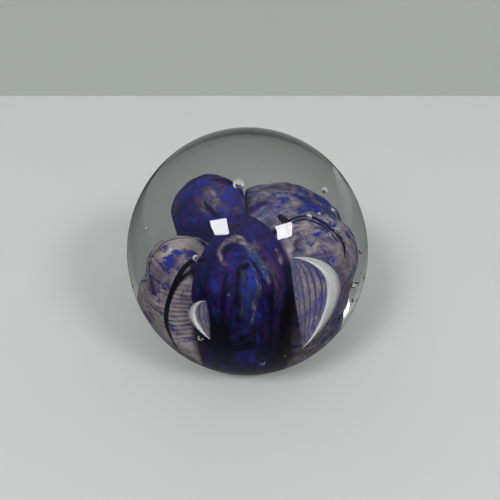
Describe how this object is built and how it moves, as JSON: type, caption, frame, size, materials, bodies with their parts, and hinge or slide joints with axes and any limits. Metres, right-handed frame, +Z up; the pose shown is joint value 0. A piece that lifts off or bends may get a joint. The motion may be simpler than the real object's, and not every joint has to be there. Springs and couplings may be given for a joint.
{
  "type": "paperweight",
  "caption": "Round art-glass paperweight: clear glass ball on a flat ground base, with lobes of blue and violet veil glass and trapped air bubbles inside.",
  "frame": {"origin": "centre of the flat ground base, on the surface that the paperweight rests on", "axes": "+Z up through the ball's centre, -Y towards the front, +X to the right"},
  "size_m": [0.076, 0.076, 0.0719],
  "materials": {
    "clear_glass": "polished clear glass",
    "core_glass": "clear glass with a faint pink tint",
    "veil_glass": "blue and violet frit glass",
    "dark_glass": "near-black cobalt and purple glass"
  },
  "bodies": {
    "root": {"glass_casing": "clear_glass", "inner_gather": "core_glass", "front_veil": "veil_glass", "right_veil": "veil_glass", "back_right_veil": "veil_glass", "back_left_veil": "veil_glass", "left_veil": "veil_glass", "centre_cane": "dark_glass", "accent_cane": "dark_glass", "front_left_thread": "dark_glass", "front_right_thread": "dark_glass", "right_thread": "dark_glass", "back_thread": "dark_glass", "left_thread": "dark_glass"}
  },
  "joints": []
}
